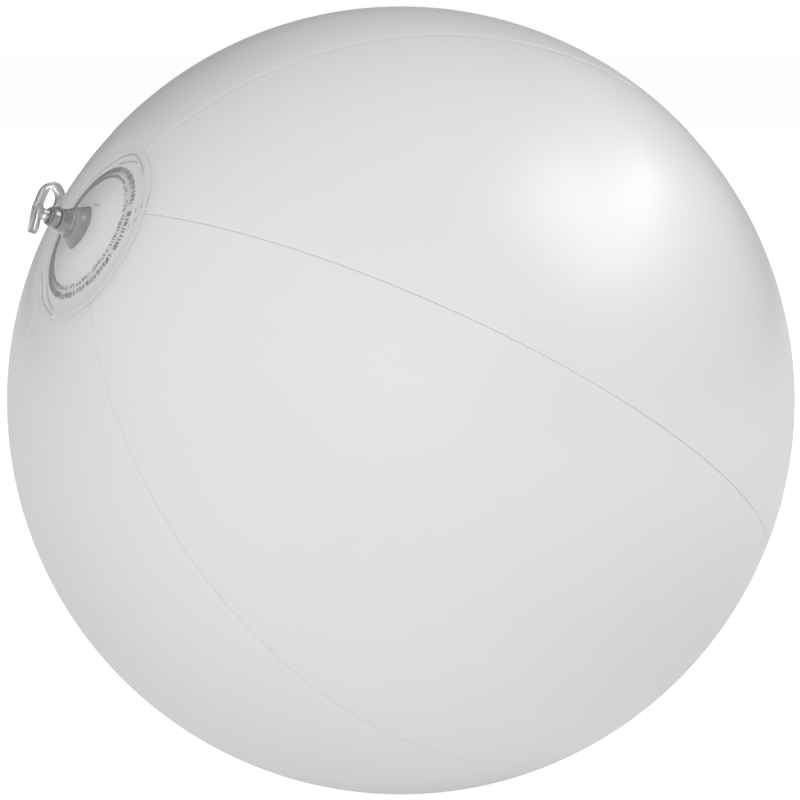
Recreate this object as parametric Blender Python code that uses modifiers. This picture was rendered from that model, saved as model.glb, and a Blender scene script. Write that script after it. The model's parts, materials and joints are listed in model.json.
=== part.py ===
"""Inflatable beach ball: six welded gores, two end patches and a push-in air valve with its stopper.

Units are metres and +Z is up. The origin is on the floor, straight below the ball's centre, in the
middle of the small flat that the ball's weight presses into its lowest gore.
"""

import math

import bmesh
import bpy
from mathutils import Euler, Matrix, Vector

# The inflated ball.
BALL_RADIUS = 0.140
SKIN = 0.00025
GAP = 0.0003
FLOOR_FLAT_RADIUS = 0.014
CENTRE_HEIGHT = math.sqrt(BALL_RADIUS**2 - FLOOR_FLAT_RADIUS**2)

# The gores meet along the seam axis, which leans up and to the left, towards the front.
GORES = 6
AXIS_AZIMUTH = math.radians(206.8)
SEAM_ELEVATION = math.radians(32.3)
SEAM_TURN = math.radians(39.7)
GORE_END_RADIUS = 0.112 * BALL_RADIUS
GORE_COLUMNS = 6
GORE_ROWS = 24

# The valve patch is welded on a little below the point where the seams meet.
VALVE_ELEVATION = math.radians(29.7)
PATCH_RADIUS = 0.237 * BALL_RADIUS
PATCH_BOTTOM = BALL_RADIUS + GAP
PATCH_TOP = PATCH_BOTTOM + SKIN
PATCH_SIDES = 36
PATCH_RINGS = 5

# The boot is the soft cone that carries the stem. Heights here are above the patch's outer face.
BOOT_BASE_RADIUS = 0.0075
BOOT_WAIST_RADIUS = 0.0044
BOOT_WAIST_HEIGHT = 0.0064
BOOT_TOP_RADIUS = 0.0040
BOOT_HEIGHT = 0.0084
BOOT_WALL = 0.0006
FLANGE_RADIUS = 0.0088
FLANGE_HOLE_RADIUS = 0.0066
FLANGE_THICKNESS = 0.0008
VALVE_SIDES = 28

# The stem leans from the patch's normal towards the pull tab.
STEM_LEAN = math.radians(9.0)
STRAP_TURN = math.radians(16.0)
STEM_RADIUS = 0.0026
STEM_BORE_RADIUS = 0.0017
STEM_BOTTOM = -0.0035
MOUTH_HEIGHT = 0.0129
MOUTH_BEAD_RADIUS = 0.0032
MOUTH_BEAD_HEIGHT = 0.0005
RING_RADIUS = 0.0035
RING_BOTTOM = 0.0094
RING_TOP = 0.0121

# The stopper: a plug in the stem's bore, and across its outer end the strap, with the pull tab.
PLUG_RADIUS = 0.0014
PLUG_BOTTOM = 0.0050
HEAD_RADIUS = 0.0022
HEAD_BOTTOM = MOUTH_HEIGHT + GAP
HEAD_TOP = 0.0162
STRAP_WIDTH = 0.0046
STRAP_THICKNESS = 0.0017
STRAP_HEIGHT = HEAD_TOP + GAP + STRAP_THICKNESS / 2
TAB_LENGTH = 0.0077
TAB_START = -0.0024

# The non-return flap under the stem's inner end.
FLAP_RADIUS = 0.0025
FLAP_THICKNESS = 0.0005
FLAP_HINGE_OFFSET = 0.0027
FLAP_TONGUE = 0.0002
FLAP_TOP = STEM_BOTTOM - GAP

MERGE_DISTANCE = 0.000001


def clear_scene():
    """Removes every object of the file that the script runs in."""
    for thing in list(bpy.data.objects):
        bpy.data.objects.remove(thing, do_unlink=True)


def new_collection(name):
    """Makes a collection in the scene."""
    made = bpy.data.collections.new(name)
    bpy.context.scene.collection.children.link(made)
    return made


def plastic(name, colour, roughness, alpha=1.0):
    """Makes a plain vinyl material."""
    material = bpy.data.materials.new(name)
    material.use_nodes = True
    shader = material.node_tree.nodes["Principled BSDF"]
    shader.inputs["Base Color"].default_value = (*colour, 1.0)
    shader.inputs["Roughness"].default_value = roughness
    shader.inputs["Metallic"].default_value = 0.0
    shader.inputs["Alpha"].default_value = alpha
    return material


def add_frame(name, collection, parent=None, location=(0, 0, 0), rotation=(0, 0, 0)):
    """Adds an empty that other objects hang on."""
    frame = bpy.data.objects.new(name, None)
    frame.empty_display_size = 0.01
    collection.objects.link(frame)
    frame.parent = parent
    frame.location = location
    frame.rotation_euler = rotation
    return frame


def add_object(name, data, collection, parent, material, location=(0, 0, 0), rotation=(0, 0, 0)):
    """Adds a piece with its own material under a frame."""
    piece = bpy.data.objects.new(name, data)
    collection.objects.link(piece)
    piece.parent = parent
    piece.location = location
    piece.rotation_euler = rotation
    data.materials.append(material)
    return piece


def arc(radius, start, end, steps):
    """Points (distance from the axis, height) on a circle about the ball's centre."""
    first, last = math.asin(start / radius), math.asin(end / radius)
    angles = [first + (last - first) * i / steps for i in range(steps + 1)]
    return [(radius * math.sin(a), radius * math.cos(a)) for a in angles]


def profile_mesh(name, points):
    """An edge profile in the XZ plane. It is closed unless it starts and ends on the axis."""
    count = len(points)
    edges = [(i, i + 1) for i in range(count - 1)]
    if points[0][0] > 0:
        edges.append((count - 1, 0))
    mesh = bpy.data.meshes.new(name)
    mesh.from_pydata([(across, 0, height) for across, height in points], edges, [])
    return mesh


def turned(name, points, sides, collection, parent, material, **placing):
    """Turns a profile, listed from the top down its outer side, about its frame's Z axis."""
    mesh = profile_mesh(name, points)
    piece = add_object(name, mesh, collection, parent, material, **placing)
    screw = piece.modifiers.new("turn", "SCREW")
    screw.axis = "Z"
    screw.angle = 2 * math.pi
    screw.steps = sides
    screw.render_steps = sides
    screw.use_smooth_shade = True
    screw.use_merge_vertices = True
    screw.merge_threshold = MERGE_DISTANCE
    return piece


def spun_gore():
    """An open sheet on the ball's surface, from one seam to the next and from end to end."""
    bm = bmesh.new()
    end = math.asin(GORE_END_RADIUS / BALL_RADIUS)
    angles = [end + (math.pi - 2 * end) * i / GORE_ROWS for i in range(GORE_ROWS + 1)]
    line = [bm.verts.new((BALL_RADIUS * math.sin(a), 0, BALL_RADIUS * math.cos(a))) for a in angles]
    edges = [bm.edges.new(pair) for pair in zip(line, line[1:])]
    width = 2 * math.pi / GORES
    bmesh.ops.spin(
        bm, geom=line + edges, cent=(0, 0, 0), axis=(0, 0, 1), angle=width, steps=GORE_COLUMNS
    )
    # Each seam keeps half its gap on this side of the plane through the axis.
    for angle, side in ((0.0, 1), (width, -1)):
        across = Vector((-math.sin(angle), math.cos(angle), 0)) * side
        everything = bm.verts[:] + bm.edges[:] + bm.faces[:]
        bmesh.ops.bisect_plane(
            bm, geom=everything, plane_co=across * GAP / 2, plane_no=across, clear_inner=True
        )
    if bm.faces[:][0].normal.dot(bm.faces[:][0].calc_center_median()) < 0:
        bmesh.ops.reverse_faces(bm, faces=bm.faces[:])
    return bm


def press_on_floor(bm, placing):
    """Flattens the part of a gore that would reach below the floor, once it is placed."""
    bm.transform(placing)
    centre = Vector((0, 0, CENTRE_HEIGHT))
    near = [f for f in bm.faces if f.calc_center_median().length < 2.2 * FLOOR_FLAT_RADIUS]
    if near:
        edges = list({edge for face in near for edge in face.edges})
        cut = bmesh.ops.subdivide_edges(bm, edges=edges, cuts=2, use_grid_fill=True)
        for vert in (v for v in cut["geom_inner"] if isinstance(v, bmesh.types.BMVert)):
            vert.co = centre + (vert.co - centre).normalized() * BALL_RADIUS
        everything = bm.verts[:] + bm.edges[:] + bm.faces[:]
        bmesh.ops.bisect_plane(bm, geom=everything, plane_co=(0, 0, 0), plane_no=(0, 0, 1))
        for vert in bm.verts:
            vert.co.z = max(vert.co.z, 0.0)
        flat = [f for f in bm.faces if all(v.co.z < MERGE_DISTANCE for v in f.verts)]
        bmesh.ops.dissolve_faces(bm, faces=flat)
    bm.transform(placing.inverted())


def build_panels(collection, ball_frame, ball_matrix):
    """The six gores, as thin shells a seam's gap apart."""
    vinyl = plastic("milky_vinyl", (0.72, 0.72, 0.74), 0.35)
    for index in range(GORES):
        turn = SEAM_TURN + index * 2 * math.pi / GORES
        bm = spun_gore()
        press_on_floor(bm, ball_matrix @ Matrix.Rotation(turn, 4, "Z"))
        name = f"panel_{index + 1}"
        mesh = bpy.data.meshes.new(name)
        bm.to_mesh(mesh)
        bm.free()
        mesh.shade_smooth()
        own = vinyl.copy()
        own.name = f"{name}_vinyl"
        panel = add_object(name, mesh, collection, ball_frame, own, rotation=(0, 0, turn))
        shell = panel.modifiers.new("skin", "SOLIDIFY")
        shell.thickness = SKIN
        shell.offset = -1.0


def build_patches(collection, ball_frame, valve_frame):
    """The valve patch with the boot's hole in it, and the plain patch at the other end."""
    hole = BOOT_BASE_RADIUS + GAP
    top = arc(PATCH_TOP, hole, PATCH_RADIUS, PATCH_RINGS)
    bottom = arc(PATCH_BOTTOM, PATCH_RADIUS, hole, PATCH_RINGS)
    film = plastic("valve_patch_vinyl", (0.66, 0.66, 0.68), 0.35)
    turned("valve_patch", top + bottom, PATCH_SIDES, collection, valve_frame, film)

    top = arc(PATCH_TOP, 0, PATCH_RADIUS, PATCH_RINGS)
    bottom = arc(PATCH_BOTTOM, PATCH_RADIUS, 0, PATCH_RINGS)
    film = plastic("base_patch_vinyl", (0.68, 0.68, 0.70), 0.35)
    far_end = {"rotation": (math.pi, 0, 0)}
    turned("base_patch", top + bottom, PATCH_SIDES, collection, ball_frame, film, **far_end)


def lean_mesh(piece):
    """Makes the piece's turned shape a mesh and leans it over the patch, its foot staying put."""
    bpy.context.view_layer.update()
    seen = piece.evaluated_get(bpy.context.evaluated_depsgraph_get())
    mesh = bpy.data.meshes.new_from_object(seen)
    for vert in mesh.vertices:
        vert.co.x += max(0.0, vert.co.z - PATCH_TOP) * math.tan(STEM_LEAN)
    piece.modifiers.clear()
    piece.data = mesh


def build_boot(collection, valve_frame):
    """The welded flange under the patch and the hollow cone that stands on it."""
    top = arc(BALL_RADIUS, FLANGE_HOLE_RADIUS, FLANGE_RADIUS, 1)
    bottom = arc(BALL_RADIUS - FLANGE_THICKNESS, FLANGE_RADIUS, FLANGE_HOLE_RADIUS, 1)
    soft = plastic("flange_vinyl", (0.45, 0.45, 0.47), 0.4)
    turned("valve_flange", top + bottom, PATCH_SIDES, collection, valve_frame, soft)

    lip = STEM_RADIUS + GAP
    foot = -SKIN
    outline = [
        (lip, BOOT_HEIGHT + BOOT_WALL / 2),
        (BOOT_TOP_RADIUS - BOOT_WALL / 2, BOOT_HEIGHT + BOOT_WALL / 2),
        (BOOT_TOP_RADIUS, BOOT_HEIGHT),
        (BOOT_WAIST_RADIUS, BOOT_WAIST_HEIGHT),
        (BOOT_BASE_RADIUS, 0),
        (BOOT_BASE_RADIUS, foot),
        (BOOT_BASE_RADIUS - BOOT_WALL, foot),
        (BOOT_BASE_RADIUS - BOOT_WALL, 0),
        (BOOT_WAIST_RADIUS - BOOT_WALL, BOOT_WAIST_HEIGHT - BOOT_WALL / 2),
        (lip, BOOT_HEIGHT - BOOT_WALL / 2),
    ]
    profile = [(across, PATCH_TOP + height) for across, height in outline]
    grey = plastic("boot_vinyl", (0.30, 0.30, 0.31), 0.3)
    lean_mesh(turned("valve_boot", profile, VALVE_SIDES, collection, valve_frame, grey))


def build_stem(collection, stem_frame):
    """The tube that is blown into, and the ring by which the strap holds on to it."""
    outline = [
        (STEM_BORE_RADIUS, MOUTH_HEIGHT),
        (STEM_RADIUS, MOUTH_HEIGHT),
        (MOUTH_BEAD_RADIUS, MOUTH_HEIGHT - MOUTH_BEAD_HEIGHT / 3),
        (MOUTH_BEAD_RADIUS, MOUTH_HEIGHT - MOUTH_BEAD_HEIGHT),
        (STEM_RADIUS, MOUTH_HEIGHT - MOUTH_BEAD_HEIGHT),
        (STEM_RADIUS, STEM_BOTTOM),
        (STEM_BORE_RADIUS, STEM_BOTTOM),
    ]
    clear = plastic("stem_vinyl", (0.42, 0.42, 0.44), 0.2)
    turned("valve_stem", outline, VALVE_SIDES, collection, stem_frame, clear)

    hole = STEM_RADIUS + GAP
    edge = 0.2 * (RING_TOP - RING_BOTTOM)
    outline = [
        (hole, RING_TOP),
        (RING_RADIUS - edge / 2, RING_TOP),
        (RING_RADIUS, RING_TOP - edge),
        (RING_RADIUS, RING_BOTTOM + edge),
        (RING_RADIUS - edge / 2, RING_BOTTOM),
        (hole, RING_BOTTOM),
    ]
    clear = plastic("strap_ring_vinyl", (0.50, 0.50, 0.52), 0.2)
    turned("strap_ring", outline, VALVE_SIDES, collection, stem_frame, clear)


def flat_outline(name, points, thickness):
    """A filled flat outline of a stated thickness, in its own XY plane."""
    curve = bpy.data.curves.new(name, "CURVE")
    curve.dimensions = "2D"
    curve.fill_mode = "BOTH"
    curve.extrude = thickness / 2
    spline = curve.splines.new("POLY")
    spline.points.add(len(points) - 1)
    for point, (x, y) in zip(spline.points, points):
        point.co = (x, y, 0, 1)
    spline.use_cyclic_u = True
    return curve


def half_circle(centre, radius, start, steps):
    """Points of a half circle that begins at an angle and runs the way angles grow."""
    angles = [start + math.pi * i / steps for i in range(steps + 1)]
    return [(centre + radius * math.cos(a), radius * math.sin(a)) for a in angles]


def build_flap(collection, stem_frame):
    """The round flap that air from inside presses shut. Its origin is on its hinge."""
    rounded = half_circle(-FLAP_HINGE_OFFSET, FLAP_RADIUS, math.pi / 2, 12)
    points = rounded + [(FLAP_TONGUE, -FLAP_RADIUS), (FLAP_TONGUE, FLAP_RADIUS)]
    outline = flat_outline("check_flap", points, FLAP_THICKNESS)
    clear = plastic("flap_vinyl", (0.55, 0.55, 0.57), 0.3)
    place = (FLAP_HINGE_OFFSET, 0, FLAP_TOP - FLAP_THICKNESS / 2)
    add_object("check_flap", outline, collection, stem_frame, clear, location=place)


def build_stopper(collection, stem_frame):
    """The plug with its head, and the pull tab that lies across the head."""
    chamfer = 0.1 * HEAD_RADIUS
    outline = [
        (0, HEAD_TOP),
        (HEAD_RADIUS - chamfer, HEAD_TOP),
        (HEAD_RADIUS, HEAD_TOP - chamfer),
        (HEAD_RADIUS, HEAD_BOTTOM),
        (PLUG_RADIUS, HEAD_BOTTOM),
        (PLUG_RADIUS, PLUG_BOTTOM + chamfer),
        (PLUG_RADIUS - chamfer, PLUG_BOTTOM),
        (0, PLUG_BOTTOM),
    ]
    clear = plastic("plug_vinyl", (0.50, 0.50, 0.52), 0.2)
    turned("stopper_plug", outline, VALVE_SIDES, collection, stem_frame, clear)

    half = STRAP_WIDTH / 2
    rounded = half_circle(TAB_LENGTH - half, half, -math.pi / 2, 10)
    points = [(TAB_START, -half)] + rounded + [(TAB_START, half)]
    outline = flat_outline("pull_tab", points, STRAP_THICKNESS)
    clear = plastic("tab_vinyl", (0.52, 0.52, 0.54), 0.2)
    place = (0, 0, STRAP_HEIGHT)
    add_object("pull_tab", outline, collection, stem_frame, clear, location=place)


def build_strap(collection, stem_frame):
    """The flat strap, bent round in a loop from the end of the tab back to the ring."""
    route = [
        (TAB_START - GAP, STRAP_HEIGHT),
        (-0.0065, 0.0166),
        (-0.0094, 0.0155),
        (-0.0108, 0.0134),
        (-0.0102, 0.0116),
        (-0.0082, 0.0100),
        (-0.0060, 0.0097),
        (-RING_RADIUS - GAP, RING_BOTTOM + STRAP_THICKNESS / 2),
    ]
    curve = bpy.data.curves.new("strap", "CURVE")
    curve.dimensions = "2D"
    curve.fill_mode = "NONE"
    curve.extrude = STRAP_WIDTH / 2
    curve.resolution_u = 5
    curve.render_resolution_u = 5
    spline = curve.splines.new("BEZIER")
    spline.bezier_points.add(len(route) - 1)
    for point, (x, y) in zip(spline.bezier_points, route):
        point.co = (x, y, 0)
        point.handle_left_type = "AUTO"
        point.handle_right_type = "AUTO"
    clear = plastic("strap_vinyl", (0.52, 0.52, 0.54), 0.2)
    upright = {"rotation": (math.pi / 2, 0, 0)}
    strap = add_object("strap", curve, collection, stem_frame, clear, **upright)
    solid = strap.modifiers.new("thickness", "SOLIDIFY")
    solid.thickness = STRAP_THICKNESS
    solid.offset = 0.0


def main():
    """Builds the ball in the pose in which it rests on the floor."""
    clear_scene()
    parts = new_collection("beach_ball")
    centre = Vector((0, 0, CENTRE_HEIGHT))
    seam_turn = Euler((0, math.pi / 2 - SEAM_ELEVATION, AXIS_AZIMUTH))
    valve_turn = Euler((0, math.pi / 2 - VALVE_ELEVATION, AXIS_AZIMUTH))
    ball_frame = add_frame("ball_frame", parts, location=centre, rotation=seam_turn)
    valve_frame = add_frame("valve_frame", parts, location=centre, rotation=valve_turn)
    strap_turn = (0, 0, STRAP_TURN)
    boot_frame = add_frame("boot_frame", parts, valve_frame, rotation=strap_turn)
    stem_lean = (0, STEM_LEAN, 0)
    stem_frame = add_frame("stem_frame", parts, boot_frame, (0, 0, PATCH_TOP), stem_lean)

    ball_matrix = Matrix.Translation(centre) @ seam_turn.to_matrix().to_4x4()
    build_panels(parts, ball_frame, ball_matrix)
    build_patches(parts, ball_frame, valve_frame)
    build_boot(parts, boot_frame)
    build_stem(parts, stem_frame)
    build_flap(parts, stem_frame)
    build_stopper(parts, stem_frame)
    build_strap(parts, stem_frame)


main()
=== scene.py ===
"""Looks of an inflatable beach ball: milky vinyl gores, two welded end patches and a clear push-in valve.

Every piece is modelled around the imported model's bodies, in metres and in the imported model's own frame.
A piece is shaped in a local frame, such as the stem's, and its place is then applied to its mesh.
"""

import json
import logging
import math
import random
from collections.abc import Callable, Sequence
from dataclasses import dataclass
from enum import Enum

import bmesh
import bpy
from mathutils import Matrix, Vector, geometry

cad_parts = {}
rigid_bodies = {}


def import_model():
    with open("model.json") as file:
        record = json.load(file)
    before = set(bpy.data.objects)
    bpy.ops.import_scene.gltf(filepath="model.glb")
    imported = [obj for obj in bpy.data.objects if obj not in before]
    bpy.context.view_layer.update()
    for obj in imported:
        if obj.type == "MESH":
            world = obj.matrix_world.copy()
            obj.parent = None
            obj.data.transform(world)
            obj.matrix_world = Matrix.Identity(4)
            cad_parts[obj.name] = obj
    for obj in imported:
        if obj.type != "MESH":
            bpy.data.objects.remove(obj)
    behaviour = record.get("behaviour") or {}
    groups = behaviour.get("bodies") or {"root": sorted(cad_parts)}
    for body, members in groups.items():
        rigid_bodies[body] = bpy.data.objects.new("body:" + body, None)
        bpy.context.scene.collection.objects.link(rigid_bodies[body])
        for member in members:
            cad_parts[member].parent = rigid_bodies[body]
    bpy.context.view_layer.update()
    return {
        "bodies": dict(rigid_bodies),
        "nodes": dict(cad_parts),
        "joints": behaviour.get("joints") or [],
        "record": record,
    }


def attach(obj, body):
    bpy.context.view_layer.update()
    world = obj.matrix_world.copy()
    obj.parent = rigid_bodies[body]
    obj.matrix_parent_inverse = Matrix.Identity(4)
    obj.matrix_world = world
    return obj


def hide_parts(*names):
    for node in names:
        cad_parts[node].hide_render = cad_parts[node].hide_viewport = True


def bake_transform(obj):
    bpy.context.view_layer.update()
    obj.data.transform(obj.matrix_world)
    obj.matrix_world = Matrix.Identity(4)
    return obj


MM = 0.001
FULL_TURN = 2 * math.pi
MERGE = 0.000001

Outline = Sequence[tuple[float, float]]
Colour = tuple[float, float, float]
Frame = dict[str, object]
Piece = bpy.types.Object

log = logging.getLogger("beach_ball")


class Grip(Enum):
    """What is picked in edit mode."""

    VERTS = "VERT"
    EDGES = "EDGE"
    FACES = "FACE"


class Bench:
    """The modelling steps, each done with one piece on the bench."""

    @staticmethod
    def take(*pieces: Piece) -> None:
        """Selects these pieces alone and makes the first one active.

        Args:
            pieces: the pieces, the active one first.
        """
        bpy.ops.object.select_all(action="DESELECT")
        for piece in pieces:
            piece.select_set(True)
        bpy.context.view_layer.objects.active = pieces[0]

    @staticmethod
    def adopt(name: str) -> Piece:
        """Names the primitive that was just added and applies its place.

        Args:
            name: the piece's name.

        Returns:
            The piece, unturned and unscaled at the origin.
        """
        piece = bpy.context.view_layer.objects.active
        piece.name = name
        piece.data.name = name
        Bench.take(piece)
        bpy.ops.object.transform_apply(location=True, rotation=True, scale=True)
        return piece

    @staticmethod
    def edit(piece: Piece, grip: Grip = Grip.VERTS) -> None:
        """Opens a piece in edit mode with all of it selected.

        Args:
            piece: the piece to open.
            grip: what edit mode then picks.
        """
        Bench.take(piece)
        bpy.ops.object.mode_set(mode="EDIT")
        bpy.ops.mesh.select_mode(type=grip.value)
        bpy.ops.mesh.select_all(action="SELECT")

    @staticmethod
    def done() -> None:
        """Leaves edit mode."""
        bpy.ops.object.mode_set(mode="OBJECT")

    @staticmethod
    def pick(piece: Piece, grip: Grip, test: Callable[[Vector], bool]) -> None:
        """Selects the elements of a piece in edit mode whose corners all pass a test on their place.

        Args:
            piece: the piece that is in edit mode.
            grip: whether vertices, edges or faces are selected.
            test: says whether a corner at this place counts.
        """
        bpy.ops.mesh.select_mode(type=grip.value)
        bpy.ops.mesh.select_all(action="DESELECT")
        shape = bmesh.from_edit_mesh(piece.data)
        if grip is Grip.VERTS:
            found = [v for v in shape.verts if test(v.co)]
        else:
            items = shape.edges if grip is Grip.EDGES else shape.faces
            found = [item for item in items if all(test(v.co) for v in item.verts)]
        for item in found:
            item.select_set(True)
        shape.select_flush_mode()
        bmesh.update_edit_mesh(piece.data)

    @staticmethod
    def tidy_normals() -> None:
        """Merges doubles and turns every face outwards, in edit mode."""
        bpy.ops.mesh.select_all(action="SELECT")
        bpy.ops.mesh.remove_doubles(threshold=MERGE)
        bpy.ops.mesh.normals_make_consistent(inside=False)

    @staticmethod
    def turn(name: str, outline: Outline, steps: int, ring: bool = True) -> Piece:
        """Draws an outline of (distance from the axis, height) and spins it about the Z axis.

        Args:
            name: the piece's name.
            outline: the points, either once round a section or from axis to axis.
            steps: how many steps make the full turn.
            ring: whether the outline closes on itself, away from the axis.

        Returns:
            The turned piece.
        """
        bpy.ops.object.select_all(action="DESELECT")
        bpy.ops.mesh.primitive_plane_add(size=MM)
        piece = Bench.adopt(name)
        Bench.edit(piece)
        bpy.ops.mesh.merge(type="CENTER")
        points = list(outline) + ([outline[0]] if ring else [])
        bpy.ops.transform.translate(value=(points[0][0], 0, points[0][1]))
        for before, after in zip(points, points[1:]):
            step = (after[0] - before[0], 0, after[1] - before[1])
            bpy.ops.mesh.extrude_vertices_move(TRANSFORM_OT_translate={"value": step})
        bpy.ops.mesh.select_all(action="SELECT")
        bpy.ops.mesh.spin(steps=steps, angle=FULL_TURN, center=(0, 0, 0), axis=(0, 0, 1))
        Bench.tidy_normals()
        Bench.done()
        return piece

    @staticmethod
    def modify(piece: Piece, kind: str, **values: object) -> None:
        """Adds a modifier with these values and applies it.

        Args:
            piece: the piece that gets it.
            kind: the modifier's type.
            **values: the modifier's settings.
        """
        Bench.take(piece)
        modifier = piece.modifiers.new(kind.lower(), kind)
        for key, value in values.items():
            setattr(modifier, key, value)
        bpy.ops.object.modifier_apply(modifier=modifier.name)

    @staticmethod
    def round_edges(piece: Piece, width: float, segments: int = 3, angle: float = 35.0) -> None:
        """Rounds every edge sharper than an angle in degrees."""
        limit = math.radians(angle)
        Bench.modify(piece, "BEVEL", width=width, segments=segments, limit_method="ANGLE", angle_limit=limit)

    @staticmethod
    def place(piece: Piece, frame: Matrix) -> Piece:
        """Moves a piece from a local frame to its place, applies that to its mesh and returns it.

        Args:
            piece: the piece, in its local frame.
            frame: takes the local frame to the world.

        Returns:
            The same piece, unturned and unscaled at the origin.
        """
        Bench.take(piece)
        piece.matrix_world = frame
        bpy.ops.object.transform_apply(location=True, rotation=True, scale=True)
        return piece

    @staticmethod
    def copy(piece: Piece, name: str) -> Piece:
        """Copies a piece, with a mesh of its own.

        Args:
            piece: the piece to copy.
            name: the copy's name.

        Returns:
            The copy.
        """
        Bench.take(piece)
        bpy.ops.object.duplicate(linked=False)
        made = bpy.context.view_layer.objects.active
        made.name = name
        made.data.name = name
        return made

    @staticmethod
    def join(pieces: Sequence[Piece], name: str) -> Piece:
        """Joins pieces into the first one.

        Args:
            pieces: the pieces to join.
            name: the joined piece's name.

        Returns:
            The joined piece.
        """
        Bench.take(*pieces)
        bpy.ops.object.join()
        pieces[0].name = name
        pieces[0].data.name = name
        return pieces[0]

    @staticmethod
    def smooth(piece: Piece, angle: float = 35.0) -> None:
        """Shades a piece smooth, apart from edges sharper than an angle in degrees."""
        Bench.take(piece)
        bpy.ops.object.shade_smooth_by_angle(angle=math.radians(angle))

    @staticmethod
    def mark(piece: Piece, depth: Callable[[Vector], float]) -> None:
        """Marks each corner from 0 to 1 for the finish's darker tone: how deep in a weld it lies, or how
        much painted shade it gets.
        """
        marks = piece.data.attributes.new("weld", "FLOAT", "POINT")
        marks.data.foreach_set("value", [depth(vert.co) for vert in piece.data.vertices])


def frame_of(origin: Vector, x_axis: Vector, z_axis: Vector) -> Matrix:
    """A local frame from its origin, its Z axis and a direction near its X axis.

    Args:
        origin: where the frame starts.
        x_axis: a direction that isn't along Z; its part across Z becomes X.
        z_axis: the frame's Z axis.

    Returns:
        The matrix that takes the frame's coordinates to the world's.
    """
    up = z_axis.normalized()
    across = (x_axis - up * x_axis.dot(up)).normalized()
    matrix = Matrix((across, up.cross(across), up)).transposed().to_4x4()
    matrix.translation = origin
    return matrix


@dataclass(frozen=True)
class BallSize:
    """The sizes that every piece of the ball shares."""

    radius: float = 140 * MM
    floor_flat: float = 14 * MM
    film: float = 0.25 * MM
    patch_lift: float = 0.55 * MM
    gores: int = 6

    @property
    def centre(self) -> Vector:
        """The ball's centre over the flat on the floor."""
        return Vector((0, 0, math.sqrt(self.radius**2 - self.floor_flat**2)))


@dataclass(frozen=True)
class Bearings:
    """The local frames of the ball and its valve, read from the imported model."""

    seams: Matrix
    valve: Matrix
    boot: Matrix
    stem: Matrix

    @classmethod
    def read(cls, frame: Frame, size: BallSize) -> "Bearings":
        """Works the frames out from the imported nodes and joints.

        Args:
            size: the ball's sizes.

        Returns:
            The bearings: the seams' frame has Z through both patches and X through the first gore's
            middle, and the valve's has Z out through the valve; both start at the ball's centre. The
            boot's and the stem's start on the patch's outer face, with X towards the pull tab.
        """
        centre = size.centre
        far_patch, first_gore = (cls.middle(frame["nodes"][n]) for n in ("base_patch", "panel_1"))
        joints = {joint["name"]: joint for joint in frame["joints"]}
        up_stem = -Vector(joints["stem_push"]["axis"])
        to_tab = (-Vector(joints["flap_hinge"]["axis"])).cross(up_stem)
        hinge = Vector(joints["flap_hinge"]["pos_m"])
        mouth = hinge - to_tab * CheckFlap.hinge_offset - up_stem * CheckFlap.hinge_height
        outwards = mouth - centre
        return cls(
            seams=frame_of(centre, first_gore - centre, centre - far_patch),
            valve=frame_of(centre, Vector((0, 0, -1)), outwards),
            boot=frame_of(mouth, to_tab, outwards),
            stem=frame_of(mouth, to_tab, up_stem),
        )

    @staticmethod
    def middle(node: Piece) -> Vector:
        """The mean of a node's corners."""
        return sum((v.co for v in node.data.vertices), Vector()) / len(node.data.vertices)


class SharedEffects:
    """Node groups that several finishes place, each with its own values."""

    @staticmethod
    def group(name: str, inputs: dict[str, float], outputs: Sequence[str]) -> bpy.types.NodeTree:
        """Starts a shader node group with number sockets.

        Args:
            name: the group's name.
            inputs: the input sockets and their usual values.
            outputs: the output sockets.

        Returns:
            The group with its two end nodes.
        """
        tree = bpy.data.node_groups.new(name, "ShaderNodeTree")
        for label, value in inputs.items():
            socket = tree.interface.new_socket(label, in_out="INPUT", socket_type="NodeSocketFloat")
            socket.default_value = value
        for label in outputs:
            tree.interface.new_socket(label, in_out="OUTPUT", socket_type="NodeSocketFloat")
        tree.nodes.new("NodeGroupInput")
        tree.nodes.new("NodeGroupOutput")
        return tree

    @staticmethod
    def haze() -> bpy.types.NodeTree:
        """Uneven milkiness of calendered film, with its long shallow ripples and fine haze.

        Returns:
            The group, with a Cloud mask, a Grain mask and a Ripple height.
        """
        known = bpy.data.node_groups.get("film_haze")
        if known:
            return known
        scales = {"Cloud Scale": 9.0, "Grain Scale": 900.0, "Ripple Scale": 14.0}
        tree = SharedEffects.group("film_haze", scales, ("Cloud", "Grain", "Ripple"))
        ends = {node.bl_idname: node for node in tree.nodes}
        place = tree.nodes.new("ShaderNodeTexCoord").outputs["Object"]
        for label, detail in (("Cloud", 4.0), ("Grain", 2.0), ("Ripple", 1.0)):
            noise = tree.nodes.new("ShaderNodeTexNoise")
            noise.inputs["Detail"].default_value = detail
            tree.links.new(place, noise.inputs["Vector"])
            tree.links.new(ends["NodeGroupInput"].outputs[f"{label} Scale"], noise.inputs["Scale"])
            tree.links.new(noise.outputs["Fac"], ends["NodeGroupOutput"].inputs[label])
        return tree


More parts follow.
